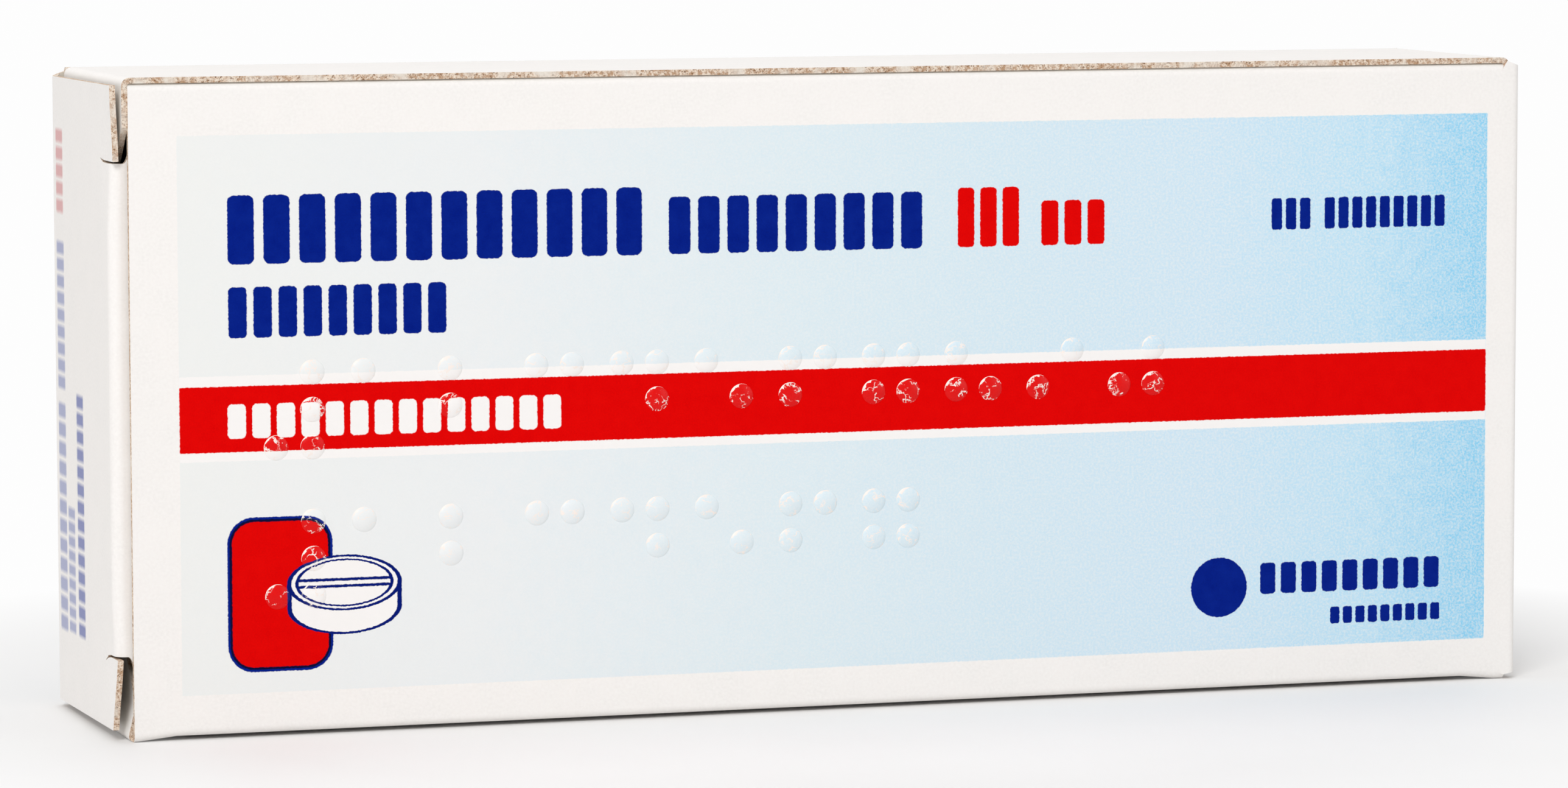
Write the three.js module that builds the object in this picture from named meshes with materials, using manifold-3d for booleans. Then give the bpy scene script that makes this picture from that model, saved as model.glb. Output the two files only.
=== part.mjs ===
import * as THREE from "three";
import { mergeVertices } from "three/addons/utils/BufferGeometryUtils.js";
import Module from "manifold-3d";

// A folding carton of tablets, standing on one of its long narrow sides. Millimetres. X runs along
// the carton, -Y is its large front panel, +Z is up, and the origin is the centre of its underside.

// The carton
const LENGTH = 101.2; // over the outer faces of the two end closures
const DEPTH = 19.8; // over the front and back panels
const HEIGHT = 44.2; // over the top and bottom panels
const BOARD = 0.4; // thickness of the board, and of the raw edge that shows all round
const FOLD_OUT = 0.55; // outer radius of a creased fold
const FOLD_STEPS = 5; // facets of a quarter turn
const FOLD_TAIL = 0.1; // flat board between the end of a fold and the next edge
const PANEL_SETBACK = 1.2; // raw end of a long panel, in from the closure that tucks behind it
const DUST_SETBACK = 0.8; // outer face of a dust flap, in from the outer face of its closure
const TOP_LAP = 0.1; // raw long edge of the top panel, in from the front face
const GLUE_WIDTH = 11; // glue flap under the top panel
const GLUE_TAPER = 5; // its ends slope in by this much

// The end closures and their tuck flaps
const CLOSURE_DROP = 0.25; // closure edge below the top panel at its hinge fold
const CLOSURE_LIFT = 0.3; // closure edge above the underside at its hinge fold
const CLOSURE_TAPER_TOP = 0.25; // further narrowing at the free edge, above
const CLOSURE_TAPER_LOW = 0.55; // and below
const SLIT_LENGTH = 5.7; // slit lock, from the top or bottom of the carton
const SLIT_WIDTH = 0.16;
const SLIT_HOOK = 1.5; // how far the slit curls into the closure
const HOOK_STRAIGHT = 0.4; // straight start of the hook
const HOOK_BEND = 0.1; // it has risen by this much two thirds of the way in
const HOOK_RISE = 0.35; // and by this much at its end
const FREE_EDGE = 0.15; // raw free edge of the closure, in from the face it tucks behind
const TUCK_FOLD = 0.8; // outer radius of the tuck fold
const TUCK_GAP = 0.2; // tuck flap behind the long panel
const TUCK_REACH = 14; // from the outer face of the closure
const TUCK_SHOULDER = 1.6; // shoulders of the tuck flap, in from the outer face of the closure
const SHOULDER_ROUND = 1.4; // curve from the end of a slit into the shoulder
const SHOULDER_CORNER = 1; // bevelled outer corner of the shoulder
const SHOULDER_LEAN = 0.3; // the shoulder slopes in by this much
const TUCK_CORNER = 6; // round corners of the tuck flap's end
const TUCK_TAPER = 0.6; // its sides come in by this much
const TUCK_END_GAP = 0.5; // shoulders to the glue flap, and to the bottom panel

// The dust flaps
const DUST_REACH = 14;
const DUST_STRAIGHT = 3.3; // straight part of the edge beside the tuck flap
const DUST_CHAMFER = 2.9; // then it runs in by this much, at 45 degrees
const DUST_RELIEF = 0.6; // its other edge, in from the closure's hinge side
const DUST_CORNER = 3;
const DUST_TAPER = 0.4; // the narrow part leans in by this much on the tuck side
const DUST_SLOPE = 1; // and by this much on the hinge side

// Raised dots on the front panel
const DOT_BASE = 0.8; // radius
const DOT_RISE = 0.2;
const DOT_SHOULDER = 0.6; // share of the radius, at
const DOT_SHOULDER_RISE = 0.75; // this share of the rise
const DOT_PITCH = 2.5;
const CELL_PITCH = 6;
const LINE_TOPS = [19.8, 29.8]; // first row of each line, down from the top of the panel
const LINE_LEFT = 9.8; // first column, in from the raw left end of the front panel
// Each digit is the list of its dots: 1 to 3 down the left column, 4 to 6 down the right one.
const NUMBER_SIGN = [3, 4, 5, 6];
const DIGITS = [
  [2, 4, 5], [1], [1, 2], [1, 4], [1, 4, 5], [1, 5], [1, 2, 4], [1, 2, 4, 5], [1, 2, 5], [2, 4],
];
const LINES = ["1234567890", "1234567"];

// The blister strips, the tablets and the leaflet
const STRIP_END_GAP = 2.4; // strip to the dust flaps
const STRIP_TOP_GAP = 5; // strip to the glue flap
const END_MARGIN = 3.9; // flat film outside the pockets, at the ends of the strip
const SIDE_MARGIN = 3; // and along its sides
const STRIP_CORNER = 3;
const FILM = 0.25;
const FOIL = 0.1;
const COLUMNS = 5;
const ROWS = 2;
const TABLET_RADIUS = 6;
const TABLET_THICKNESS = 4.2;
const TABLET_BEVEL = 0.5;
const SCORE_WIDTH = 1;
const SCORE_DEPTH = 0.5;
const TABLET_TURN = 0.65; // radians that each tablet lies turned from the one before
const TABLET_CLEARANCE = 0.2; // to the foil below it and the pocket above it
const POCKET_CLEARANCE = 0.3; // round its rim
const POCKET_DRAFT = 0.15; // the pocket narrows by this much towards its top
const POCKET_ROUND = 0.5; // bevel round its top
const CONTENT_GAP = 0.2; // between one thing and the next in the carton
const LEAFLET_END_GAP = 3.4;
const LEAFLET_TOP_GAP = 6;
const LEAFLET_LAYERS = 7;
const LEAFLET_PITCH = 0.36;
const LEAFLET_PAPER = 0.12;
const ROUND_STEPS = 16; // facets of a pocket or tablet
const DOT_STEPS = 8; // facets of a raised dot
const CURVE_STEPS = 6; // facets of a rounded corner
const THROUGH = 1; // how far a cut runs past what it cuts

// Derived places
const HALF = LENGTH / 2;
const FRONT = -DEPTH / 2;
const BACK = DEPTH / 2;
const FOLD_MID = FOLD_OUT - BOARD / 2;
const LAP_UNDER = HEIGHT - BOARD; // underside of the top panel, top of the glue flap
const DUST_X = HALF - DUST_SETBACK;
const RING_END = DUST_X - FOLD_OUT - FOLD_TAIL; // the four panels run between the dust flap folds
const PANEL_END = HALF - PANEL_SETBACK;
const CLOSURE_TOP = HEIGHT - CLOSURE_DROP;
const CLOSURE_LOW = CLOSURE_LIFT;
const TUCK_FACE = FRONT + BOARD + TUCK_GAP;
const HINGE = BACK - FOLD_OUT - FOLD_TAIL; // where the back panel's fold ends and the closure starts
const FOLD_START = TUCK_FACE + TUCK_FOLD + FOLD_TAIL; // where the closure turns into the tuck flap
const POCKET_DEPTH = TABLET_THICKNESS + 2 * TABLET_CLEARANCE;
const POCKET_RADIUS = TABLET_RADIUS + POCKET_CLEARANCE; // inside, at its top
const POCKET_FOOT = POCKET_RADIUS + POCKET_DRAFT + FILM; // outside, where it meets the flat film
const STRIP_THICKNESS = FOIL + POCKET_DEPTH + FILM;
const STRIP_LENGTH = 2 * (DUST_X - BOARD - STRIP_END_GAP);
const STRIP_HEIGHT = LAP_UNDER - 2 * BOARD - STRIP_TOP_GAP;
const COLUMN_PITCH = (STRIP_LENGTH - 2 * (END_MARGIN + POCKET_FOOT)) / (COLUMNS - 1);
const ROW_PITCH = (STRIP_HEIGHT - 2 * (SIDE_MARGIN + POCKET_FOOT)) / (ROWS - 1);
const LEAFLET_LENGTH = 2 * (DUST_X - BOARD - LEAFLET_END_GAP);
const LEAFLET_HEIGHT = LAP_UNDER - 2 * BOARD - LEAFLET_TOP_GAP;
const FIRST_STRIP = TUCK_FACE + BOARD + CONTENT_GAP;
const SECOND_STRIP = FIRST_STRIP + STRIP_THICKNESS + CONTENT_GAP;
const LEAFLET_START = SECOND_STRIP + STRIP_THICKNESS + CONTENT_GAP;
const STRIP_CENTRE = BOARD + STRIP_HEIGHT / 2;

const wasm = await Module();
wasm.setup();

// Axes of an extrusion: the outline's two axes, then the direction of its depth.
const ALONG_X = new THREE.Matrix4().makeBasis(
  new THREE.Vector3(0, 1, 0), new THREE.Vector3(0, 0, 1), new THREE.Vector3(1, 0, 0));
const ALONG_Y = new THREE.Matrix4().makeBasis(
  new THREE.Vector3(1, 0, 0), new THREE.Vector3(0, 0, 1), new THREE.Vector3(0, -1, 0));
const ALONG_Z = new THREE.Matrix4();

function solid(geometry) {
  const flat = geometry.index ? geometry.toNonIndexed() : geometry;
  const bare = new THREE.BufferGeometry().setAttribute("position", flat.getAttribute("position"));
  const merged = mergeVertices(bare, 1e-4);
  const corners = merged.index.array;
  const kept = [];
  for (let i = 0; i < corners.length; i += 3) {
    const [a, b, c] = [corners[i], corners[i + 1], corners[i + 2]];
    if (a !== b && b !== c && a !== c) kept.push(a, b, c);
  }
  return new wasm.Manifold(new wasm.Mesh({
    numProp: 3,
    vertProperties: Float32Array.from(merged.attributes.position.array),
    triVerts: Uint32Array.from(kept),
  }));
}

function geometryOf(made) {
  const mesh = made.getMesh();
  const geometry = new THREE.BufferGeometry();
  geometry.setAttribute("position", new THREE.BufferAttribute(Float32Array.from(mesh.vertProperties), 3));
  geometry.setIndex(new THREE.BufferAttribute(Uint32Array.from(mesh.triVerts), 1));
  const faceted = geometry.toNonIndexed();
  faceted.computeVertexNormals();
  return faceted;
}

function join(...pieces) {
  return pieces.reduce((whole, piece) => whole.add(piece));
}

// An outline of [u, v] points, or a shape, extruded along an axis from low to high.
function prism(outline, axes, low, high) {
  const shape = Array.isArray(outline)
    ? new THREE.Shape(outline.map(([u, v]) => new THREE.Vector2(u, v)))
    : outline;
  const depth = high - low;
  const options = { depth, bevelEnabled: false, curveSegments: CURVE_STEPS };
  const geometry = new THREE.ExtrudeGeometry(shape, options);
  geometry.translate(0, 0, axes === ALONG_Y ? -high : low);
  geometry.applyMatrix4(axes);
  return solid(geometry);
}

function slab(x0, x1, y0, y1, z0, z1) {
  return prism([[x0, y0], [x1, y0], [x1, y1], [x0, y1]], ALONG_Z, z0, z1);
}

// A path whose square corners are turned at a radius.
function folded(points, radius) {
  const path = [points[0]];
  for (let i = 1; i < points.length - 1; i++) {
    const [before, corner, after] = [points[i - 1], points[i], points[i + 1]].map(
      ([u, v]) => new THREE.Vector2(u, v));
    const into = corner.clone().sub(before).normalize();
    const out = after.clone().sub(corner).normalize();
    for (let k = 0; k <= FOLD_STEPS; k++) {
      const turn = (k / FOLD_STEPS) * Math.PI / 2;
      path.push([
        corner.x + radius * (-into.x + out.x - out.x * Math.cos(turn) + into.x * Math.sin(turn)),
        corner.y + radius * (-into.y + out.y - out.y * Math.cos(turn) + into.y * Math.sin(turn)),
      ]);
    }
  }
  path.push(points[points.length - 1]);
  return path.filter(([u, v], i) => !i || Math.hypot(u - path[i - 1][0], v - path[i - 1][1]) > 1e-6);
}

// The outline of a sheet of some thickness that follows a path along its middle.
function ribbon(path, thickness) {
  const points = path.map(([u, v]) => new THREE.Vector2(u, v));
  const steps = points.slice(1).map((p, i) => p.clone().sub(points[i]).normalize());
  const sides = points.map((p, i) => {
    const into = steps[Math.max(i - 1, 0)];
    const out = steps[Math.min(i, steps.length - 1)];
    const across = new THREE.Vector2(-into.y - out.y, into.x + out.x).normalize();
    return across.multiplyScalar(thickness / 2 / (across.x * -into.y + across.y * into.x));
  });
  return [
    ...points.map((p, i) => [p.x + sides[i].x, p.y + sides[i].y]),
    ...points.map((p, i) => [p.x - sides[i].x, p.y - sides[i].y]).reverse(),
  ];
}

function halfTurn(made) {
  return made.rotate([0, 0, 180]);
}

// Front, bottom, back and top panels in one strip, with the glue flap under the top panel.
function panels() {
  const half = BOARD / 2;
  const strip = ribbon(folded([
    [FRONT + FOLD_OUT, LAP_UNDER - half],
    [FRONT + half, LAP_UNDER - half],
    [FRONT + half, half],
    [BACK - half, half],
    [BACK - half, HEIGHT - half],
    [0, HEIGHT - half],
  ], FOLD_MID), BOARD);
  const glueStart = FRONT + FOLD_OUT;
  const glueEnd = FRONT + GLUE_WIDTH;
  const glue = prism([
    [-RING_END, glueStart], [RING_END, glueStart],
    [RING_END - GLUE_TAPER, glueEnd], [-RING_END + GLUE_TAPER, glueEnd],
  ], ALONG_Z, LAP_UNDER - BOARD, LAP_UNDER);
  return join(
    prism(strip, ALONG_X, -RING_END, RING_END),
    slab(-RING_END, RING_END, FRONT + TOP_LAP, 0, LAP_UNDER, HEIGHT),
    glue,
  );
}

// The raw left end of the front panel, and its right end with the fold that the right closure hangs on.
function longPanelEnds() {
  const rawEnd = slab(-PANEL_END, -RING_END, FRONT, FRONT + BOARD, FOLD_OUT, LAP_UNDER - FOLD_OUT);
  const fold = ribbon(folded([
    [RING_END, FRONT + BOARD / 2],
    [HALF - BOARD / 2, FRONT + BOARD / 2],
    [HALF - BOARD / 2, -HINGE],
  ], FOLD_MID), BOARD);
  return join(rawEnd, prism(fold, ALONG_Z, CLOSURE_LOW, CLOSURE_TOP));
}

// The dust flap at the left end of the top panel, folded down behind the closure.
function topDustFlap() {
  const edge = FRONT + TOP_LAP;
  const other = BACK - DUST_RELIEF;
  const narrow = edge + DUST_CHAMFER;
  const side = narrow + DUST_TAPER;
  const slope = other - DUST_SLOPE;
  const straight = HEIGHT - DUST_STRAIGHT;
  const low = HEIGHT - DUST_REACH;
  const outline = [
    [edge, HEIGHT - FOLD_OUT - FOLD_TAIL], [edge, straight], [narrow, straight - DUST_CHAMFER],
    [side, low + DUST_CORNER], [side + DUST_CORNER, low],
    [slope - DUST_CORNER, low], [slope, low + DUST_CORNER], [other, HEIGHT - FOLD_OUT - FOLD_TAIL],
  ];
  const fold = ribbon(folded([
    [-RING_END, HEIGHT - BOARD / 2],
    [-DUST_X + BOARD / 2, HEIGHT - BOARD / 2],
    [-DUST_X + BOARD / 2, HEIGHT - FOLD_OUT - FOLD_TAIL],
  ], FOLD_MID), BOARD);
  return join(
    prism(fold, ALONG_Y, edge, other),
    prism(outline, ALONG_X, -DUST_X, -DUST_X + BOARD),
  );
}

// Low domes in cells of two by three. The sheet of the panel holds them, so they start inside it.
function dots() {
  const dome = new THREE.LatheGeometry([
    new THREE.Vector2(0, -BOARD / 2), new THREE.Vector2(DOT_BASE, -BOARD / 2), new THREE.Vector2(DOT_BASE, 0),
    new THREE.Vector2(DOT_BASE * DOT_SHOULDER, DOT_RISE * DOT_SHOULDER_RISE), new THREE.Vector2(0, DOT_RISE),
  ], DOT_STEPS);
  dome.rotateX(Math.PI);
  const one = solid(dome);
  const placed = [];
  LINES.forEach((line, row) => {
    [NUMBER_SIGN, ...[...line].map((digit) => DIGITS[Number(digit)])].forEach((cell, column) => {
      for (const dot of cell) {
        const x = -PANEL_END + LINE_LEFT + column * CELL_PITCH + (dot > 3 ? DOT_PITCH : 0);
        const z = HEIGHT - LINE_TOPS[row] - ((dot - 1) % 3) * DOT_PITCH;
        placed.push(one.translate([x, FRONT, z]));
      }
    });
  });
  return placed;
}

function cartonSleeve() {
  const dust = topDustFlap();
  const lowDust = dust.mirror([0, 0, 1]).translate([0, 0, HEIGHT]);
  const ends = longPanelEnds();
  return join(panels(), ends, halfTurn(ends), dust, lowDust, halfTurn(dust), halfTurn(lowDust), ...dots());
}

// The left closure, flat, with the two slit locks cut in from its free edge.
function endClosure() {
  const free = FRONT + FREE_EDGE;
  const slitTop = HEIGHT - SLIT_LENGTH;
  const slitLow = SLIT_LENGTH;
  const plate = prism([
    [HINGE, CLOSURE_LOW], [HINGE, CLOSURE_TOP],
    [free, CLOSURE_TOP - CLOSURE_TAPER_TOP], [free, slitTop + SLIT_WIDTH],
    [FOLD_START, slitTop + SLIT_WIDTH], [FOLD_START, slitLow - SLIT_WIDTH],
    [free, slitLow - SLIT_WIDTH], [free, CLOSURE_LOW + CLOSURE_TAPER_LOW],
  ], ALONG_X, -HALF, -HALF + BOARD);
  const hook = (root, way) => prism(ribbon([
    [FOLD_START - THROUGH, root], [FOLD_START + HOOK_STRAIGHT, root],
    [FOLD_START + SLIT_HOOK * 2 / 3, root + way * HOOK_BEND],
    [FOLD_START + SLIT_HOOK, root + way * HOOK_RISE],
  ], SLIT_WIDTH), ALONG_X, -HALF - THROUGH, -HALF + THROUGH);
  return plate
    .subtract(hook(slitTop + SLIT_WIDTH / 2, 1))
    .subtract(hook(slitLow - SLIT_WIDTH / 2, -1));
}

// The left tuck flap: the fold between the two slits, then the flap with its shoulders.
function tuckFlap() {
  const slitTop = HEIGHT - SLIT_LENGTH;
  const slitLow = SLIT_LENGTH;
  const top = LAP_UNDER - BOARD - TUCK_END_GAP;
  const low = BOARD + TUCK_END_GAP;
  const start = -HALF + TUCK_FOLD + FOLD_TAIL;
  const shoulder = -HALF + TUCK_SHOULDER;
  const end = -HALF + TUCK_REACH;
  const side = top - TUCK_TAPER;
  const lowSide = low + TUCK_TAPER;
  const outline = new THREE.Shape();
  outline.moveTo(start, slitLow);
  outline.lineTo(start, slitTop);
  outline.quadraticCurveTo(shoulder, slitTop, shoulder, slitTop + SHOULDER_ROUND);
  outline.lineTo(shoulder + SHOULDER_LEAN, top - SHOULDER_CORNER);
  outline.lineTo(shoulder + SHOULDER_LEAN + SHOULDER_CORNER, top);
  outline.lineTo(end - TUCK_CORNER, side);
  outline.quadraticCurveTo(end, side, end, side - TUCK_CORNER);
  outline.lineTo(end, lowSide + TUCK_CORNER);
  outline.quadraticCurveTo(end, lowSide, end - TUCK_CORNER, lowSide);
  outline.lineTo(shoulder + SHOULDER_LEAN + SHOULDER_CORNER, low);
  outline.lineTo(shoulder + SHOULDER_LEAN, low + SHOULDER_CORNER);
  outline.lineTo(shoulder, slitLow - SHOULDER_ROUND);
  outline.quadraticCurveTo(shoulder, slitLow, start, slitLow);
  const fold = ribbon(folded([
    [-HALF + BOARD / 2, FOLD_START],
    [-HALF + BOARD / 2, TUCK_FACE + BOARD / 2],
    [start, TUCK_FACE + BOARD / 2],
  ], TUCK_FOLD - BOARD / 2), BOARD);
  return join(
    prism(outline, ALONG_Y, TUCK_FACE, TUCK_FACE + BOARD),
    prism(fold, ALONG_Z, slitLow, slitTop),
  );
}

function pocketCentres() {
  const centres = [];
  for (let row = 0; row < ROWS; row++) {
    for (let column = 0; column < COLUMNS; column++) {
      centres.push([
        (column - (COLUMNS - 1) / 2) * COLUMN_PITCH,
        STRIP_CENTRE + ((ROWS - 1) / 2 - row) * ROW_PITCH,
      ]);
    }
  }
  return centres;
}

function stripOutline() {
  const [x, z] = [STRIP_LENGTH / 2, STRIP_HEIGHT / 2];
  const shape = new THREE.Shape();
  shape.moveTo(-x + STRIP_CORNER, STRIP_CENTRE - z);
  shape.lineTo(x - STRIP_CORNER, STRIP_CENTRE - z);
  shape.quadraticCurveTo(x, STRIP_CENTRE - z, x, STRIP_CENTRE - z + STRIP_CORNER);
  shape.lineTo(x, STRIP_CENTRE + z - STRIP_CORNER);
  shape.quadraticCurveTo(x, STRIP_CENTRE + z, x - STRIP_CORNER, STRIP_CENTRE + z);
  shape.lineTo(-x + STRIP_CORNER, STRIP_CENTRE + z);
  shape.quadraticCurveTo(-x, STRIP_CENTRE + z, -x, STRIP_CENTRE + z - STRIP_CORNER);
  shape.lineTo(-x, STRIP_CENTRE - z + STRIP_CORNER);
  shape.quadraticCurveTo(-x, STRIP_CENTRE - z, -x + STRIP_CORNER, STRIP_CENTRE - z);
  return shape;
}

// A turned solid whose profile is [radius, height] points and whose axis is +Y.
function turned(profile) {
  return solid(new THREE.LatheGeometry(profile.map(([r, h]) => new THREE.Vector2(r, h)), ROUND_STEPS));
}

// The clear film, with one pocket drawn back from the foil for each tablet.
function blisterFilm(front) {
  const sheet = prism(stripOutline(), ALONG_Y, front + FOIL, front + FOIL + FILM);
  const outside = turned([
    [0, 0], [POCKET_FOOT, 0], [POCKET_RADIUS + FILM, POCKET_DEPTH + FILM - POCKET_ROUND],
    [POCKET_RADIUS + FILM - POCKET_ROUND, POCKET_DEPTH + FILM], [0, POCKET_DEPTH + FILM],
  ]);
  const inside = turned([
    [0, -THROUGH], [POCKET_RADIUS + POCKET_DRAFT, -THROUGH], [POCKET_RADIUS + POCKET_DRAFT, 0],
    [POCKET_RADIUS, POCKET_DEPTH - POCKET_ROUND], [POCKET_RADIUS - POCKET_ROUND, POCKET_DEPTH],
    [0, POCKET_DEPTH],
  ]);
  const at = ([x, z]) => [x, front + FOIL, z];
  const shell = join(sheet, ...pocketCentres().map((c) => outside.translate(at(c))));
  return pocketCentres().reduce((film, c) => film.subtract(inside.translate(at(c))), shell);
}

function blisterFoil(front) {
  return prism(stripOutline(), ALONG_Y, front, front + FOIL);
}

// A flat tablet with bevelled rims, scored across the face that looks out of the pocket.
function tablet() {
  const half = TABLET_THICKNESS / 2;
  const body = turned([
    [0, -half], [TABLET_RADIUS - TABLET_BEVEL, -half], [TABLET_RADIUS, -half + TABLET_BEVEL],
    [TABLET_RADIUS, half - TABLET_BEVEL], [TABLET_RADIUS - TABLET_BEVEL, half], [0, half],
  ]);
  const score = prism([
    [-SCORE_WIDTH / 2, half], [0, half - SCORE_DEPTH], [SCORE_WIDTH / 2, half],
    [SCORE_WIDTH / 2, half + THROUGH], [-SCORE_WIDTH / 2, half + THROUGH],
  ], ALONG_Z, -TABLET_RADIUS - THROUGH, TABLET_RADIUS + THROUGH);
  return body.subtract(score);
}

// One sheet of paper folded to and fro, standing on its lower edge.
function leaflet() {
  const path = [];
  for (let layer = 0; layer < LEAFLET_LAYERS; layer++) {
    const y = LEAFLET_START + LEAFLET_PAPER / 2 + layer * LEAFLET_PITCH;
    const low = BOARD + LEAFLET_PAPER / 2;
    const high = BOARD + LEAFLET_HEIGHT - LEAFLET_PAPER / 2;
    path.push(...(layer % 2 ? [[y, high], [y, low]] : [[y, low], [y, high]]));
  }
  return prism(ribbon(path, LEAFLET_PAPER), ALONG_X, -LEAFLET_LENGTH / 2, LEAFLET_LENGTH / 2);
}

const root = new THREE.Group();
root.name = "tablet_carton";
root.position.y = DOT_RISE / 2; // the dots stand proud of the front, so the middle of the box moves

function material(color, roughness, metalness = 0, opacity = 1) {
  return new THREE.MeshStandardMaterial({ color, roughness, metalness, opacity, transparent: opacity < 1 });
}

function place(name, made, look, parent = root) {
  const mesh = new THREE.Mesh(geometryOf(made), look);
  mesh.name = name;
  parent.add(mesh);
  return mesh;
}

place("carton_sleeve", cartonSleeve(), material(0xf3f0ed, 0.55));
const closure = endClosure();
const tuck = tuckFlap();
place("end_closure_left", closure, material(0xefebe9, 0.55));
place("tuck_flap_left", tuck, material(0xece8e4, 0.6));
place("end_closure_right", halfTurn(closure), material(0xefebe9, 0.55));
place("tuck_flap_right", halfTurn(tuck), material(0xece8e4, 0.6));

const TABLET = tablet();
for (const [name, front] of [["front", FIRST_STRIP], ["rear", SECOND_STRIP]]) {
  const strip = new THREE.Group();
  strip.name = "blister_" + name;
  root.add(strip);
  place("blister_film_" + name, blisterFilm(front), material(0xe9eef2, 0.15, 0, 0.35), strip);
  place("blister_foil_" + name, blisterFoil(front), material(0xc9ccd0, 0.35, 1), strip);
  pocketCentres().forEach(([x, z], i) => {
    const mesh = place("tablet_" + name + "_" + (i + 1), TABLET, material(0xf6f4ef, 0.8), strip);
    mesh.position.set(x, front + FOIL + TABLET_CLEARANCE + TABLET_THICKNESS / 2, z);
    mesh.rotation.y = i * TABLET_TURN;
  });
}
place("leaflet", leaflet(), material(0xf7f6f2, 0.85));

export default root;
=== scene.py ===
# %% [markdown]
# # A folding carton of tablets
# The carton stands on one of its long narrow sides. It is one die-cut sheet of white coated board,
# folded into four panels and glued along the top front edge. Each end has two dust flaps and a
# closure whose tuck flap slips in behind a long panel. Inside are two blister strips and a leaflet.
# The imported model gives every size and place, so it is loaded first.

import math

import bmesh
import bpy
from mathutils import Matrix, Vector


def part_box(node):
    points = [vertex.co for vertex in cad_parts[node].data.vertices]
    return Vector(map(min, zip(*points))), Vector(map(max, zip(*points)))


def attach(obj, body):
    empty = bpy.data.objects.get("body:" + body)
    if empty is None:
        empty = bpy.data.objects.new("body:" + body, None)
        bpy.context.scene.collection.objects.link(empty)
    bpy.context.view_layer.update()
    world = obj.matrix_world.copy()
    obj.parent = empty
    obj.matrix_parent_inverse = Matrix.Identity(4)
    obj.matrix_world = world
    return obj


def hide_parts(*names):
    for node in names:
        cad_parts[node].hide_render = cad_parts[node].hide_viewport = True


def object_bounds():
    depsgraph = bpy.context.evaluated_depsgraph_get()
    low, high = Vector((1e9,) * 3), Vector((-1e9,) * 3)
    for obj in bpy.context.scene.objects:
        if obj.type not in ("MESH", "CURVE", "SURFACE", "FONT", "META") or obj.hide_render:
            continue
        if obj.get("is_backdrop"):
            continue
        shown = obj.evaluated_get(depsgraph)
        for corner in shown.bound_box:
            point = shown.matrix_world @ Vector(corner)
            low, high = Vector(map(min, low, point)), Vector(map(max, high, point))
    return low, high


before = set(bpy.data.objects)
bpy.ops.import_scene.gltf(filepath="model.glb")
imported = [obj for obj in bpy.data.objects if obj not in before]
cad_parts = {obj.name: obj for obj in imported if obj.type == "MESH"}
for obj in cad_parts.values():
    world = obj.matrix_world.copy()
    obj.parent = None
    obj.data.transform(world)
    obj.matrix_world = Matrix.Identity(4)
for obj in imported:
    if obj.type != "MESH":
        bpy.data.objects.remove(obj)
cad_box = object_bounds()
print("packed nodes:", len(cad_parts))

# %% [markdown]
# All sizes are in metres. The board is 0.4 mm thick, and every fold is a small round, because board
# never turns sharply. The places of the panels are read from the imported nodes.

# %% sizes and places
MM = 0.001
TINY = 0.001 * MM
BOARD = 0.4 * MM
FOLD = 0.55 * MM
FOLD_TAIL = 0.1 * MM
DOT_RISE = 0.2 * MM
PANEL_SETBACK = 1.2 * MM
DUST_SETBACK = 0.8 * MM
TOP_LAP = 0.1 * MM

low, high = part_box("carton_sleeve")
LEFT, RIGHT = low.x, high.x
FRONT, BACK = low.y + DOT_RISE, high.y
TOP = high.z
LAP = TOP - BOARD
MIDDLE = Vector((0, (FRONT + BACK) / 2, 0))
RAW_END = RIGHT - PANEL_SETBACK
DUST = RIGHT - DUST_SETBACK
RING = DUST - FOLD - FOLD_TAIL
print("carton in mm:", [round(size / MM, 2) for size in (RIGHT - LEFT, BACK - FRONT, TOP)])

# %% [markdown]
# ## Camera
# The photograph was taken from a little left of the front and slightly above, with a long lens. Its
# viewpoint was worked out from the carton's corners in the picture.

# %% camera
PHOTO_WIDTH = 2576
SENSOR_WIDTH = 36
FOCAL_PIXELS = 10393
CAMERA_AT = Vector((-134.95, -419.89, 61.09)) * MM
YAW, PITCH, ROLL = math.radians(17.702), math.radians(5.195), math.radians(-0.128)

forward = Vector((math.sin(YAW) * math.cos(PITCH), math.cos(YAW) * math.cos(PITCH), -math.sin(PITCH)))
level = Vector((math.cos(YAW), -math.sin(YAW), 0))
across = level * math.cos(ROLL) + level.cross(forward) * math.sin(ROLL)
upward = across.cross(forward)
lens = bpy.data.cameras.new("camera")
lens.sensor_width = SENSOR_WIDTH
lens.lens = SENSOR_WIDTH * FOCAL_PIXELS / PHOTO_WIDTH
lens.clip_start = 0.01
lens.clip_end = 20
camera = bpy.data.objects.new("camera", lens)
turn = Matrix((across, upward, -forward)).transposed()
camera.matrix_world = Matrix.Translation(CAMERA_AT) @ turn.to_4x4()
bpy.context.scene.collection.objects.link(camera)
bpy.context.scene.camera = camera
print("focal length in mm:", round(lens.lens, 1))

# %% [markdown]
# ## Helpers for edit mode
# A folded sheet is easiest to make the way it is folded: one face is drawn, and its edges are
# extruded into the next panels. Edges are picked by their place, because there is no mouse.

# %% picking by place
UPRIGHT = (math.pi / 2, 0, 0)


def near(value, target):
    return abs(value - target) < 3 * TINY


def between(low, value, high):
    return low - TINY < value < high + TINY


def at(x=None, y=None, z=None):
    """A test for points near the coordinates given. Every point passes it where none is given."""
    return lambda p: all(place is None or near(own, place) for own, place in zip(p, (x, y, z)))


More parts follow.
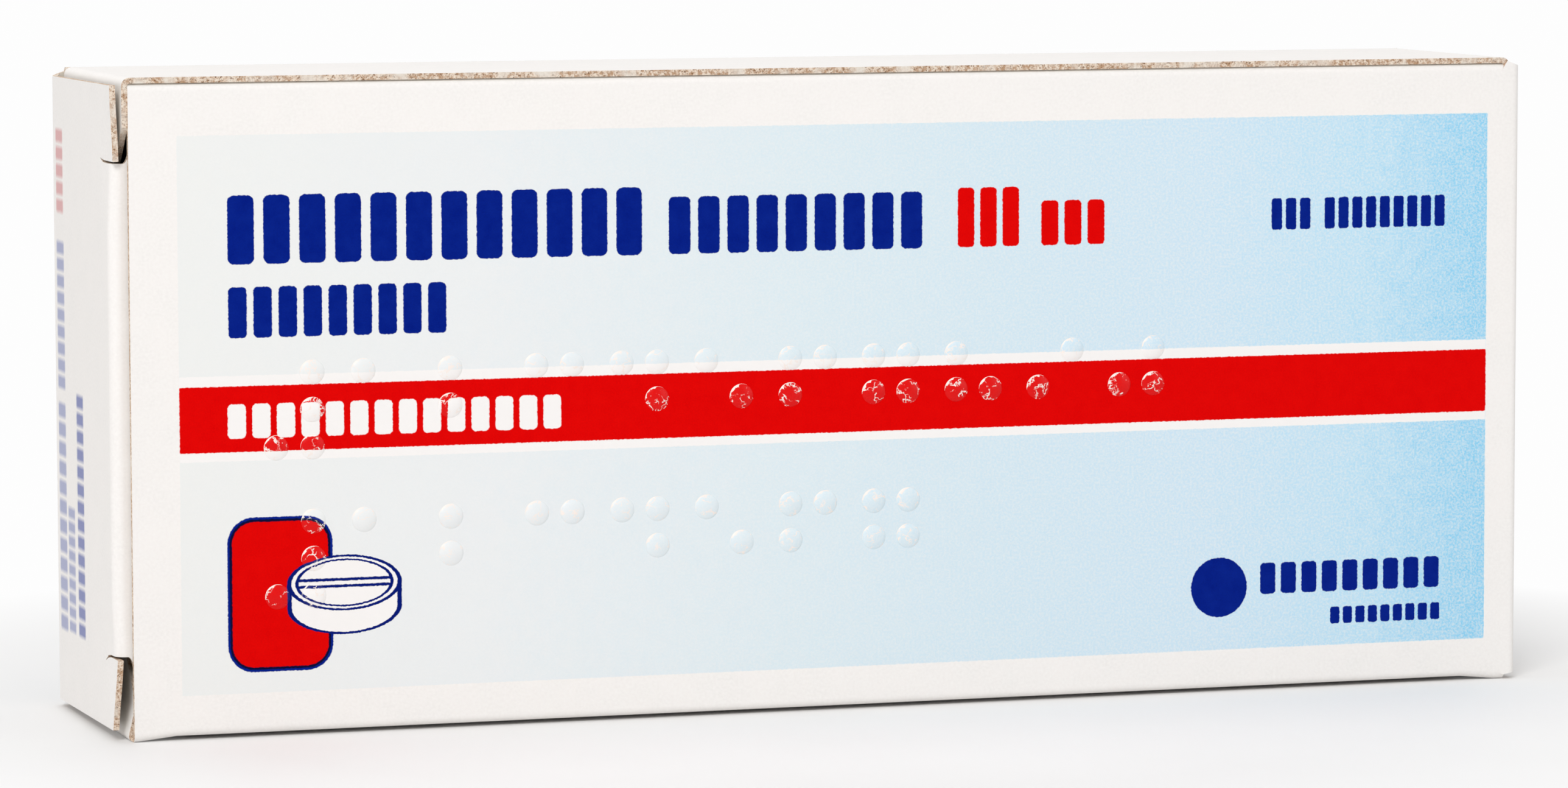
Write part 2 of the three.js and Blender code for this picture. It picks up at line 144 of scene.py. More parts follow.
def drawn(build, scale, location, rotation=(0, 0, 0), **settings):
    """Adds a primitive with nothing else selected, scales it, and goes into edit mode."""
    bpy.ops.object.select_all(action="DESELECT")
    build(location=location, rotation=rotation, **settings)
    bpy.context.object.scale = scale
    bpy.ops.object.transform_apply(location=True, rotation=True, scale=True)
    bpy.ops.object.mode_set(mode="EDIT")


def disc(radius, location, rotation=(0, 0, 0), vertices=64):
    drawn(bpy.ops.mesh.primitive_circle_add, (1, 1, 1), location, rotation,
          vertices=vertices, radius=radius, fill_type="NGON")


def corners():
    return [vertex.co.copy() for vertex in bmesh.from_edit_mesh(bpy.context.object.data).verts]


def pick(kind, test):
    """Selects only the vertices, edges or faces whose corners all pass the test."""
    bpy.ops.mesh.select_mode(type=kind)
    bpy.ops.mesh.select_all(action="DESELECT")
    mesh = bmesh.from_edit_mesh(bpy.context.object.data)
    items = {"VERT": mesh.verts, "EDGE": mesh.edges, "FACE": mesh.faces}[kind]
    found = [item for item in items
             if all(test(vertex.co) for vertex in ([item] if kind == "VERT" else item.verts))]
    for item in found:
        item.select_set(True)
    mesh.select_flush_mode()
    bmesh.update_edit_mesh(bpy.context.object.data)
    return len(found)


# %% [markdown]
# Pulling edges makes the next panel, moving corners tapers it, and a bevel rounds its fold. Pulling
# all the faces makes a flat outline solid, and a cut adds a line of corners that can be moved.

# %% shaping a sheet
def pull(x=0.0, y=0.0, z=0.0):
    bpy.ops.mesh.extrude_edges_move(TRANSFORM_OT_translate={"value": (x, y, z)})


def pull_faces(x=0.0, y=0.0, z=0.0):
    pick("FACE", at())
    bpy.ops.mesh.extrude_region_move(TRANSFORM_OT_translate={"value": (x, y, z)})


def move(test, x=0.0, y=0.0, z=0.0):
    pick("VERT", test)
    bpy.ops.transform.translate(value=(x, y, z))


def crease(test, radius, steps=6):
    pick("EDGE", test)
    bpy.ops.mesh.bevel(offset=radius, segments=steps, affect="EDGES")


def round_corner(test, radius, steps=6):
    pick("VERT", test)
    bpy.ops.mesh.bevel(offset=radius, segments=steps, affect="VERTICES")


def cut(axis, places):
    """Cuts the whole sheet across, at each place along that axis."""
    direction = [axis == other for other in "xyz"]
    for place in places:
        bpy.ops.mesh.select_all(action="SELECT")
        bpy.ops.mesh.bisect(plane_co=[place * used for used in direction], plane_no=direction)


def left(name):
    """Leaves edit mode with the faces turned outwards, and names the piece."""
    bpy.ops.mesh.select_all(action="SELECT")
    bpy.ops.mesh.remove_doubles(threshold=TINY)
    bpy.ops.mesh.normals_make_consistent(inside=False)
    bpy.ops.object.mode_set(mode="OBJECT")
    piece = bpy.context.object
    piece.name = piece.data.name = name
    return piece


# %% [markdown]
# A modifier is applied as soon as it is added, so the piece that is kept is its final mesh. A copy
# gets a mesh of its own, and its move goes into that mesh, so its object stays at the origin.

# %% finishing pieces
def alone(piece):
    bpy.ops.object.select_all(action="DESELECT")
    piece.select_set(True)
    bpy.context.view_layer.objects.active = piece


def modified(piece, kind, **settings):
    alone(piece)
    modifier = piece.modifiers.new(kind.lower(), kind)
    for key, value in settings.items():
        setattr(modifier, key, value)
    bpy.ops.object.modifier_apply(modifier=modifier.name)


def smooth(piece, degrees=35):
    alone(piece)
    bpy.ops.object.shade_smooth_by_angle(angle=math.radians(degrees))


def joined(name, pieces):
    alone(pieces[0])
    for piece in pieces:
        piece.select_set(True)
    bpy.ops.object.join()
    whole = bpy.context.object
    whole.name = whole.data.name = name
    return whole


def copied(piece, name, matrix):
    twin = piece.copy()
    twin.data = piece.data.copy()
    twin.name = twin.data.name = name
    twin.data.transform(matrix)
    bpy.context.scene.collection.objects.link(twin)
    return twin


def placed(piece, body, slot, *nodes):
    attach(piece, body)
    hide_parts(*nodes)
    print(piece.name, "on", body + ",", len(piece.data.polygons), "faces")


# %% [markdown]
# ## Mixing materials
# Each finish is a small network of nodes. These helpers add one node and give back its output, so a
# recipe reads like a sum. Patterns work in millimetres on the piece's own Object coordinates.

# %% material helpers
def colour(red, green, blue):
    """A colour as a picture program writes it, 0 to 255, as the renderer's linear numbers."""
    parts = [part / 255 for part in (red, green, blue)]
    return [part / 12.92 if part <= 0.04045 else ((part + 0.055) / 1.055) ** 2.4 for part in parts] + [1]


def node(tree, kind, inputs, out=0, **settings):
    made = tree.nodes.new("ShaderNode" + kind)
    for key, value in settings.items():
        setattr(made, key, value)
    for key, value in inputs.items():
        if isinstance(value, bpy.types.NodeSocket):
            tree.links.new(value, made.inputs[key])
        else:
            made.inputs[key].default_value = value
    return made.outputs[out]


def sum_of(tree, operation, first, second=0.0, third=0.0):
    return node(tree, "Math", {0: first, 1: second, 2: third}, operation=operation)


def vector_sum(tree, operation, first, second=(0, 0, 0)):
    return node(tree, "VectorMath", {0: first, 1: second}, operation=operation)


def blended(tree, share, under, over):
    return node(tree, "Mix", {0: share, 6: under, 7: over}, out=2, data_type="RGBA")


def fade(tree, value, start, end, low=0.0, high=1.0):
    """low where value is start and high where it is end, straight between them and held outside."""
    return node(tree, "MapRange", {0: value, 1: start, 2: end, 3: low, 4: high})


# %% [markdown]
# Noise comes up in every finish: board is pressed from fibres, and ink takes unevenly to them.

# %% noise and new materials
def noise(tree, point, scale, detail=2.0, roughness=0.5):
    settings = {"Vector": point, "Scale": scale, "Detail": detail, "Roughness": roughness}
    return node(tree, "TexNoise", settings)


def new_material(name, **sockets):
    """A material, its node tree, its shader and the Object coordinates in millimetres."""
    made = bpy.data.materials.new(name)
    made.use_nodes = True
    shader = made.node_tree.nodes["Principled BSDF"]
    for socket, value in sockets.items():
        shader.inputs[socket.replace("_", " ")].default_value = value
    place = node(made.node_tree, "TexCoord", {}, out=3)
    return made, made.node_tree, shader, vector_sum(made.node_tree, "MULTIPLY", place, (1000, 1000, 1000))


def bump(tree, shader, height, depth):
    """Gives the shader a bumped normal whose relief is depth deep."""
    made = node(tree, "Bump", {"Height": height, "Strength": 1.0, "Distance": depth})
    tree.links.new(made, shader.inputs["Normal"])


# %% [markdown]
# ## Coated board
# The outside of the board is coated with white clay and calendered. Close to, it is faintly cloudy
# and has the shallow grain of its fibres, with a grey fleck here and there.

# %% coated white
PAPER_WHITE = colour(244, 240, 237)


def coated_white(tree, point):
    """The colour of the unprinted coating."""
    cloud = fade(tree, noise(tree, point, 0.45, 4, 0.6), 0.35, 0.7)
    grain = fade(tree, noise(tree, point, 5.0, 2), 0.3, 0.7)
    white = blended(tree, cloud, PAPER_WHITE, colour(240, 237, 234))
    white = blended(tree, grain, white, colour(246, 243, 240))
    fleck_place = node(tree, "TexVoronoi", {"Vector": point, "Scale": 0.085}, out=0)
    fleck = fade(tree, fleck_place, 0.012, 0.007)
    return blended(tree, sum_of(tree, "MULTIPLY", fleck, 0.55), white, colour(150, 145, 150))


def coated_relief(tree, shader, point, gloss=0.42):
    """Shallow fibre grain, finer across the sheet than along it, over a slight unevenness."""
    fibre = noise(tree, vector_sum(tree, "MULTIPLY", point, (1.0, 1.6, 1.6)), 3.2, 4, 0.6)
    swell = noise(tree, point, 0.5, 2)
    height = sum_of(tree, "MULTIPLY_ADD", swell, 1.4, fibre)
    bump(tree, shader, height, 0.012 * MM)
    tree.links.new(fade(tree, fibre, 0.2, 0.8, gloss, gloss + 0.14), shader.inputs["Roughness"])


# %% [markdown]
# ## Print
# Print is fields of colour. Each field is a rectangle with slightly rounded corners, found from how
# far a point is outside it. The edge wanders a few hundredths of a millimetre, as ink does on fibre.

# %% printed fields
def ragged(tree, point):
    """The point, moved a little by noise, so that printed edges aren't ruled lines."""
    shift = node(tree, "TexNoise", {"Vector": point, "Scale": 5.0, "Detail": 2.0}, out=1)
    shift = vector_sum(tree, "SUBTRACT", shift, (0.5, 0.5, 0.5))
    return vector_sum(tree, "ADD", point, vector_sum(tree, "MULTIPLY", shift, (0.12, 0.12, 0.12)))


def field(tree, point, centre, size, rounding, keep=(1, 0, 1), blur=0.025):
    """1 inside a rectangle of that centre and size, in millimetres, and 0 outside. keep is 0 along
    the axis that the print ignores."""
    inner = [max(length / 2 - rounding, 0) if used else 0 for length, used in zip(size, keep)]
    flat = vector_sum(tree, "MULTIPLY", vector_sum(tree, "SUBTRACT", point, centre), keep)
    beyond = vector_sum(tree, "SUBTRACT", vector_sum(tree, "ABSOLUTE", flat), inner)
    beyond = vector_sum(tree, "MAXIMUM", beyond)
    distance = node(tree, "VectorMath", {0: beyond}, out=1, operation="LENGTH")
    return fade(tree, distance, rounding + blur, rounding - blur)


FACE_LEFT = -RAW_END / MM
FACE_TOP = TOP / MM


def front_field(tree, point, start, end, top, foot, rounding=0.08):
    """A field measured from the front panel's raw left end and down from its top."""
    centre = (FACE_LEFT + (start + end) / 2, 0, FACE_TOP - (top + foot) / 2)
    return field(tree, point, centre, (end - start, 0, foot - top), rounding)


def oval(tree, point, across, down, radius, flatness=2.1):
    """A disc, flattened in height, at a place measured in the same way."""
    centre = (FACE_LEFT + across, 0, FACE_TOP - down)
    return field(tree, point, centre, (0, 0, 0), radius, keep=(1, 0, flatness))


def block_row(tree, along, side, length, height, count, blur=0.025):
    """A row of blocks with rounded corners. along is 0 where the row starts, side is 0 halfway up."""
    pitch = length / count
    from_middle = sum_of(tree, "SUBTRACT", pitch / 2, sum_of(tree, "PINGPONG", along, pitch / 2))
    folded = node(tree, "CombineXYZ", {0: from_middle, 1: 0.0, 2: side})
    block = field(tree, folded, (0, 0, 0), (0.74 * pitch, 0, height), 0.18 * pitch, blur=blur)
    from_centre = sum_of(tree, "ABSOLUTE", sum_of(tree, "SUBTRACT", along, length / 2))
    return sum_of(tree, "MULTIPLY", block, fade(tree, from_centre, length / 2, length / 2 - 0.01))


# %% [markdown]
# The carton's print is a pale blue field with a red band. On it are rows of plain upright blocks, a
# plain disc, and a red card with the outline of a scored tablet. A field is written as its start,
# end, top and foot in millimetres, and a row of blocks has its count as well.

# %% ink colours
RED, NAVY, WHITE = colour(226, 0, 0), colour(0, 28, 132), colour(246, 243, 241)
OVERPRINT, DRAWN_LINE = colour(8, 10, 50), colour(4, 24, 112)
BLUES = [(0.0, (237, 238, 236)), (0.22, (234, 237, 238)), (0.45, (219, 233, 239)), (0.62, (208, 229, 240)),
         (0.78, (202, 227, 242)), (0.9, (184, 223, 243)), (1.0, (138, 207, 240))]
NAVY_ROWS = [(6.3, 35.6, 7.9, 12.5, 12), (36.9, 55.6, 8.6, 12.5, 9), (6.4, 21.8, 14.0, 17.4, 9),
             (81.0, 84.2, 9.6, 11.8, 3), (85.0, 94.4, 9.6, 11.8, 9), (80.2, 94.2, 35.2, 37.4, 9),
             (85.6, 94.2, 38.5, 39.7, 9)]
RED_ROWS = [(57.7, 62.6, 8.4, 12.5, 3), (63.8, 68.9, 9.4, 12.5, 3)]
WHITE_ROW = (6.3, 29.75, 21.8, 24.1, 14)
TINT, BAND_EDGE, BAND = (3.25, 97.5, 3.9, 41.2), (3.25, 97.5, 19.9, 25.6), (3.25, 97.5, 20.6, 25.0)
CARD, CARD_ROUND = (6.4, 13.6, 29.4, 39.8), 1.8
DISC_ACROSS, DISC_DOWN, DISC_RADIUS = 77.3, 36.8, 2.1
print("rows of blocks on the front:", len(NAVY_ROWS) + len(RED_ROWS) + 1)


def ink(tree, point, shade, darker, lighter):
    """Ink that has taken unevenly: fine grain, slow clouds and pinholes."""
    grain = fade(tree, noise(tree, point, 9.0, 2), 0.3, 0.7)
    cloud = fade(tree, noise(tree, point, 0.9, 3, 0.6), 0.3, 0.7)
    shade = blended(tree, sum_of(tree, "MULTIPLY", grain, 0.5), shade, darker)
    return blended(tree, sum_of(tree, "MULTIPLY", cloud, 0.35), shade, lighter)


# %% [markdown]
# The blue is a screened tint, from nearly white at the left to blue at the right. Its dots are too
# small to see one by one and show as fine grain, with soft blotches where the board took more ink.

# %% blue tint
def blue_tint(tree, point):
    x = node(tree, "SeparateXYZ", {0: point})
    share = fade(tree, x, FACE_LEFT + TINT[0], FACE_LEFT + TINT[1])
    blotch = sum_of(tree, "SUBTRACT", noise(tree, point, 0.8, 4, 0.65), 0.5)
    share = sum_of(tree, "MULTIPLY_ADD", blotch, 0.15, share)
    ramp = tree.nodes.new("ShaderNodeValToRGB")
    for place, shade in BLUES[1:-1]:
        ramp.color_ramp.elements.new(place)
    for stop, (place, shade) in zip(ramp.color_ramp.elements, BLUES):
        stop.position, stop.color = place, colour(*shade)
    tree.links.new(share, ramp.inputs[0])
    grain = fade(tree, noise(tree, point, 6.0, 3, 0.75), 0.42, 0.62)
    strength = sum_of(tree, "MULTIPLY", grain, fade(tree, x, FACE_LEFT + 20, FACE_LEFT + 97, 0.14, 0.5))
    return blended(tree, strength, ramp.outputs[0], WHITE)


# %% [markdown]
# The two large panels carry the same print. The back one is turned round, as it is on a carton that
# wraps round its contents, so its x runs the other way.

# %% panel print
def panel_print(tree, point, under):
    """Print laid over the board colour, for a point whose x runs left to right as one reads it."""
    place = ragged(tree, point)
    shade = blended(tree, front_field(tree, place, *TINT), under, blue_tint(tree, point))
    shade = blended(tree, front_field(tree, place, *BAND_EDGE), shade, WHITE)
    red = ink(tree, point, RED, colour(200, 0, 2), colour(234, 8, 4))
    navy = ink(tree, point, NAVY, colour(2, 20, 108), colour(14, 46, 150))
    shade = blended(tree, front_field(tree, place, *BAND), shade, red)
    rows = [(WHITE_ROW, WHITE)] + [(row, navy) for row in NAVY_ROWS] + [(row, red) for row in RED_ROWS]
    split = node(tree, "SeparateXYZ", {0: place}).node.outputs
    for (start, end, top, foot, count), over in rows:
        along = sum_of(tree, "SUBTRACT", split["X"], FACE_LEFT + start)
        side = sum_of(tree, "SUBTRACT", split["Z"], FACE_TOP - (top + foot) / 2)
        shade = blended(tree, block_row(tree, along, side, end - start, foot - top, count), shade, over)
    plain_disc = oval(tree, place, DISC_ACROSS, DISC_DOWN, DISC_RADIUS, flatness=1)
    shade = blended(tree, plain_disc, shade, navy)
    start, end, top, foot = CARD
    for inset, over in ((0, navy), (0.16, OVERPRINT), (0.32, red)):
        edges = start + inset, end - inset, top + inset, foot - inset
        shade = blended(tree, front_field(tree, place, *edges, CARD_ROUND - inset), shade, over)
    return drawn_tablet(tree, place, shade, DRAWN_LINE)


def drawn_tablet(tree, place, shade, line):
    """A scored tablet seen from the side and above: ovals, the wall below them and two lines."""
    across, down, radius, wall_height = 14.4, 34.0, 3.95, 1.6
    for inset, over in ((0, line), (0.32, WHITE)):
        reach = radius - inset
        wall = front_field(tree, place, across - reach, across + reach, down, down + wall_height)
        foot = oval(tree, place, across, down + wall_height, reach)
        shade = blended(tree, sum_of(tree, "MAXIMUM", wall, foot), shade, over)
    for inset, over in ((0, line), (0.3, WHITE), (0.56, line), (0.8, WHITE)):
        shade = blended(tree, oval(tree, place, across, down, radius - inset), shade, over)
    start, end = across - 3.2, across + 3.2
    for drop in (-0.22, 0.22):
        score = front_field(tree, place, start, end, down + drop - 0.1, down + drop + 0.1, 0.05)
        shade = blended(tree, score, shade, line)
    return shade


# %% [markdown]
# The outside of the carton is one material: white coating everywhere, with the panel print on the
# two large panels. Which of them a point is on comes from its y.

# %% outside of the carton
def printed_board(name, cracked_and_highlit=False):
    made, tree, shader, point = new_material(name, Specular_IOR_Level=0.2 if cracked_and_highlit else 0.03)
    x, y, z = node(tree, "SeparateXYZ", {0: point}).node.outputs
    on_front = sum_of(tree, "LESS_THAN", y, FRONT / MM + 0.03)
    on_back = sum_of(tree, "GREATER_THAN", y, BACK / MM - 0.03)
    reading_x = sum_of(tree, "MULTIPLY", x, sum_of(tree, "MULTIPLY_ADD", on_back, -2.0, 1.0))
    reading = node(tree, "CombineXYZ", {0: reading_x, 1: 0.0, 2: z})
    white = coated_white(tree, point)
    on_panel = sum_of(tree, "MAXIMUM", on_front, on_back)
    shade = blended(tree, on_panel, white, panel_print(tree, reading, white))
    # On the dots the print gets its cracks, and a painted highlight on their upper left rims.
    if cracked_and_highlit:
        shade = cracks_and_painted_highlight(tree, point, shade)
    tree.links.new(shade, shader.inputs["Base Color"])
    coated_relief(tree, shader, point, 0.24 if cracked_and_highlit else 0.42)
    return made


def cracks_and_painted_highlight(tree, point, shade):
    """Where a dot was pressed up, the coating has split in fine jagged lines. The upper left of its rim,
    which faces the key lamp, gets a ragged pale painted highlight.
    """
    bend = node(tree, "TexNoise", {"Vector": point, "Scale": 2.5, "Detail": 3.0}, out=1)
    place = vector_sum(tree, "ADD", point, vector_sum(tree, "MULTIPLY", bend, (1.1, 1.1, 1.1)))
    seam = node(tree, "TexVoronoi", {"Vector": place, "Scale": 1.1}, feature="DISTANCE_TO_EDGE")
    patchy = fade(tree, noise(tree, point, 1.6, 2), 0.46, 0.56)
    split = sum_of(tree, "MULTIPLY", fade(tree, seam, 0.055, 0.025), patchy)
    # Painted highlight: a pale crescent wherever the dot's surface faces the upper left, where the key lamp
    # is.
    facing = node(tree, "NewGeometry", {}, out=1)
    facing_key_lamp = node(tree, "VectorMath", {0: facing, 1: (-0.6, 0, 0.8)}, out=1, operation="DOT_PRODUCT")
    uneven = sum_of(tree, "SUBTRACT", noise(tree, point, 3.0, 3), 0.5)
    painted_highlight_mask = sum_of(tree, "MULTIPLY_ADD", uneven, 0.7, facing_key_lamp)
    split = sum_of(tree, "MAXIMUM", split, fade(tree, painted_highlight_mask, 0.4, 0.44))
    # This pale colour stands for both the split coating and the painted highlight.
    return blended(tree, split, shade, colour(246, 236, 229))


outside = printed_board("printed_coated_board")
# The dots' material carries their cracks and a painted highlight on their upper left rims.
stretched = printed_board("print_on_raised_dots", cracked_and_highlit=True)
print("nodes in the printed board:", len(outside.node_tree.nodes))

# %% [markdown]
# ## Raw edge and inside
# Where the board is cut, its grey-brown core shows: recycled fibre, pressed flat, with dark flecks
# and pale tufts. The inside of the board isn't coated, so it is matt and slightly warmer.

# %% raw edge
raw_edge, tree, shader, point = new_material("raw_board_edge", Roughness=0.9, Specular_IOR_Level=0.2)
strands = noise(tree, point, 4.6, 5, 0.7)
tufts = noise(tree, point, 0.5, 3, 0.6)
shade = blended(tree, fade(tree, strands, 0.42, 0.58), colour(194, 157, 126), colour(246, 230, 212))
shade = blended(tree, fade(tree, noise(tree, point, 9.0, 3), 0.66, 0.58), colour(128, 92, 62), shade)
shade = blended(tree, fade(tree, tufts, 0.5, 0.68), shade, colour(243, 234, 222))
tree.links.new(shade, shader.inputs["Base Color"])
bump(tree, shader, strands, 0.12 * MM)

# %% inside of the board
inside, tree, shader, point = new_material("uncoated_board", Roughness=0.85, Specular_IOR_Level=0.25)
pulp = noise(tree, point, 2.4, 5, 0.65)
shade = blended(tree, fade(tree, pulp, 0.3, 0.72), colour(214, 204, 190), colour(235, 228, 216))
hairs = noise(tree, vector_sum(tree, "MULTIPLY", point, (0.6, 3.0, 3.0)), 1.6, 3)
shade = blended(tree, fade(tree, hairs, 0.68, 0.74), shade, colour(186, 168, 146))
tree.links.new(shade, shader.inputs["Base Color"])
bump(tree, shader, pulp, 0.03 * MM)

# %% [markdown]
# ## The four panels
# The front panel is drawn first. Its lower edge is pulled back into the bottom panel, up into the
# back panel and forward into the top panel. Its upper edge is pulled back into the glue flap, which
# lies under the top panel, so the top panel's raw edge stays in sight along the front.

# %% panels
GLUE_WIDTH, GLUE_TAPER = 11 * MM, 5 * MM
drawn(bpy.ops.mesh.primitive_plane_add, (2 * RING, LAP, 1), (0, FRONT, LAP / 2), UPRIGHT, size=1)
pick("EDGE", at(z=0))
pull(y=BACK - FRONT)
pull(z=TOP)
pull(y=FRONT + TOP_LAP - BACK)
pick("EDGE", at(y=FRONT, z=LAP))
pull(y=GLUE_WIDTH)
for y, z in ((FRONT, 0), (FRONT, LAP), (BACK, 0), (BACK, TOP)):
    crease(at(y=y, z=z), FOLD)
for x in (-RING, RING):
    move(at(x=x, y=FRONT + GLUE_WIDTH), x=-math.copysign(GLUE_TAPER, x))
print("corners after folding:", len(corners()))

# %% [markdown]
# A carton never stands on its whole underside. The lower front fold is bowed up by a quarter of a
# millimetre between its ends, which leaves the thin dark gap that shows along the floor.

# %% bowed lower edge
BOW, BOW_END = 0.28 * MM, 46.5 * MM
cut("x", (-BOW_END, BOW_END))
move(lambda p: between(-BOW_END, p.x, BOW_END) and p.y < FRONT + FOLD + TINY and p.z < FOLD + TINY, z=BOW)

# %% [markdown]
# ## Ends of the long panels
# Each long panel ends raw where it lies over a tuck flap. At its other end it folds into a closure.
# The fold belongs to the panel, and the closure, which opens, starts where the fold ends.

# %% raw ends and closure folds
closure_low, closure_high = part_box("end_closure_left")
tuck_low, tuck_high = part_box("tuck_flap_left")
HINGE = closure_high.y
FREE = closure_low.y
CLOSURE_LOW, CLOSURE_TOP = closure_low.z, closure_high.z
CORNER_RISE, CORNER_DROP, FOOT_RISE = 0.45 * MM, 0.35 * MM, 0.2 * MM


def long_panel(face, raw):
    """face is the panel's y, and raw is -1 or 1 for the end that is left raw."""
    inward = 1 if face < MIDDLE.y else -1
    pick("EDGE", lambda p: abs(p.y - face) < FOLD + TINY and near(p.x, raw * RING))
    pull(x=raw * (RAW_END - RING))
    folded = -raw
    for lowest, highest in ((LAP - FOLD, TOP), (0, FOLD)):
        pick("EDGE", lambda p: abs(p.y - face) < FOLD + TINY and near(p.x, folded * RING)
             and between(lowest, p.z, highest))
        pull(x=folded * (DUST - RING - FOLD_TAIL))
    pick("EDGE", at(x=folded * RING, y=face))
    pull(x=folded * CORNER_RISE)
    heights = [p.z for p in filter(at(x=folded * RING, y=face), corners())]
    edge = folded * (RING + CORNER_RISE)
    move(at(edge, face, max(heights)), z=CLOSURE_TOP - max(heights))
    move(at(edge, face, min(heights)), z=CLOSURE_LOW - min(heights))
    pick("EDGE", at(x=edge, y=face))
    pull(x=folded * (RIGHT - RING - CORNER_RISE))
    for z, shift in ((CLOSURE_TOP, -CORNER_DROP), (CLOSURE_LOW, FOOT_RISE)):
        move(at(x=folded * RIGHT, y=face, z=z), z=shift)
    pick("EDGE", at(x=folded * RIGHT, y=face))
    pull(y=inward * (FOLD + FOLD_TAIL))
    crease(at(x=folded * RIGHT, y=face), FOLD)


long_panel(FRONT, -1)
long_panel(BACK, 1)
print("closure folds end at y in mm:", round(HINGE / MM, 2), round(2 * MIDDLE.y / MM - HINGE / MM, 2))

# %% [markdown]
# ## Dust flaps
# A dust flap folds in from the top and the bottom panel at each end, behind the closure. It is pulled
# out in stages, and its corners move after each stage: straight beside the tuck flap, in at 45
# degrees, nearly straight, then cut off at both corners.

# %% dust flaps
def dust_stages(straight):
    """Each stage's length in millimetres, and how far its corners come in, beside the tuck flap first."""
    return [(straight, 0.0, 0.3), (2.9, 2.9, 0.2), (9.6 - straight, 0.4, 0.6), (1.5, 1.5, 1.5)]


def dust_flap(level, way, lean, straight):
    """level is the fold's z, way is -1 or 1 for the carton's end, and lean is how far the flap has
    sprung inwards from straight up or down."""
    down = -1 if level > LAP else 1
    span = [p.y for p in filter(at(x=way * RING, z=level), corners())]
    tuck_side, other = (min(span), max(span)) if way < 0 else (max(span), min(span))
    inward = -way
    pick("EDGE", at(x=way * RING, z=level))
    pull(x=way * (DUST - RING))
    x, depth = way * DUST, level
    for drop, tuck_step, other_step in dust_stages(straight):
        pull(x=inward * lean, z=down * drop * MM)
        x += inward * lean
        depth += down * drop * MM
        lean = 0
        move(at(x, tuck_side, depth), y=inward * tuck_step * MM)
        move(at(x, other, depth), y=-inward * other_step * MM)
        tuck_side += inward * tuck_step * MM
        other -= inward * other_step * MM
        pick("EDGE", at(x=x, z=depth))
    crease(at(x=way * DUST, z=level), FOLD)


DUST_FLAPS = [(0, -1, 0.6 * MM, 2.5), (0, 1, 0.4 * MM, 2.5), (TOP, -1, 0, 3.3), (TOP, 1, 0.3 * MM, 3.3)]
for flap in DUST_FLAPS:
    dust_flap(*flap)
sleeve = left("carton_board")
print("faces in the folded sheet:", len(sleeve.data.polygons))

# %% [markdown]
# So far the sheet has no thickness. Solidify adds 0.4 mm on the inside, gives the inner skin the
# uncoated board and puts the raw core on every cut edge.

# %% thickness of the board
def thickened(piece, *skins):
    for skin in skins:
        piece.data.materials.append(skin)
    modified(piece, "SOLIDIFY", thickness=BOARD, offset=-1, use_even_offset=True, use_rim=True,
             material_offset=1, material_offset_rim=2)
    smooth(piece)


thickened(sleeve, outside, inside, raw_edge)
placed(sleeve, "carton", "board", "carton_sleeve")

# %% [markdown]
# ## Raised dots
# The dots are pressed up from behind: low domes, 1.7 mm across, in cells of two by three. One is
# drawn as a disc that is inset and lifted ring by ring. Its root lies just inside the board, so no gap
# shows round it. A separate piece on the panel keeps the panel itself plain.

# %% one dot
DOT_RADIUS, DOT_ROOT = 0.85 * MM, 0.03 * MM
DOT_RINGS = [(0.97, 0.1), (0.9, 0.27), (0.8, 0.45), (0.65, 0.66), (0.45, 0.85), (0.22, 0.96), (0.08, 1.0)]
disc(DOT_RADIUS, (0, FRONT + DOT_ROOT, 0), UPRIGHT, vertices=28)
pull_faces(y=-DOT_ROOT)
radius, height = DOT_RADIUS, 0.0
for share, rise in DOT_RINGS:
    bpy.ops.mesh.inset(thickness=radius - share * DOT_RADIUS)
    radius = share * DOT_RADIUS
    bpy.ops.transform.translate(value=(0, height - rise * DOT_RISE, 0))
    height = rise * DOT_RISE
dot = left("raised_dot")
dot.data.materials.append(stretched)
smooth(dot, 60)
print("dot rise in mm:", round(-(min(v.co.y for v in dot.data.vertices) - FRONT) / MM, 3))

# %% [markdown]
# Six places make a cell: 1 to 3 run down its left column and 4 to 6 down its right one. A digit is the
# list of its dots, and a number sign starts each line. The dots spell digits only.

# %% places of the dots
DOT_PITCH, CELL_PITCH = 2.5 * MM, 6 * MM
LINE_LEFT, LINE_TOPS = 9.8 * MM, (19.8 * MM, 29.8 * MM)
NUMBER_SIGN = (3, 4, 5, 6)
DIGITS = [(2, 4, 5), (1,), (1, 2), (1, 4), (1, 4, 5), (1, 5), (1, 2, 4), (1, 2, 4, 5), (1, 2, 5), (2, 4)]
LINES = ("1234567890", "1234567")
dots = []
for line, line_top in zip(LINES, LINE_TOPS):
    for column, cell in enumerate([NUMBER_SIGN] + [DIGITS[int(digit)] for digit in line]):
        for number in cell:
            x = -RAW_END + LINE_LEFT + column * CELL_PITCH + (DOT_PITCH if number > 3 else 0)
            z = TOP - line_top - (number - 1) % 3 * DOT_PITCH
            dots.append(copied(dot, "dot", Matrix.Translation((x, 0, z))))
bpy.data.objects.remove(dot)
dots = joined("raised_dots", dots)
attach(dots, "carton")
print("raised dots:", len(dots.data.polygons), "faces")

# %% [markdown]
# ## End closure
# The closure is the large flap over the open end. Two slits, cut in from its free edge and curled at
# their ends, grip the dust flaps. Between the slits the board folds round into the tuck flap. It is
# drawn flat and cut into rows and columns, the corner below the lower slit is tapered back, and the
# strips that the slits free are deleted.

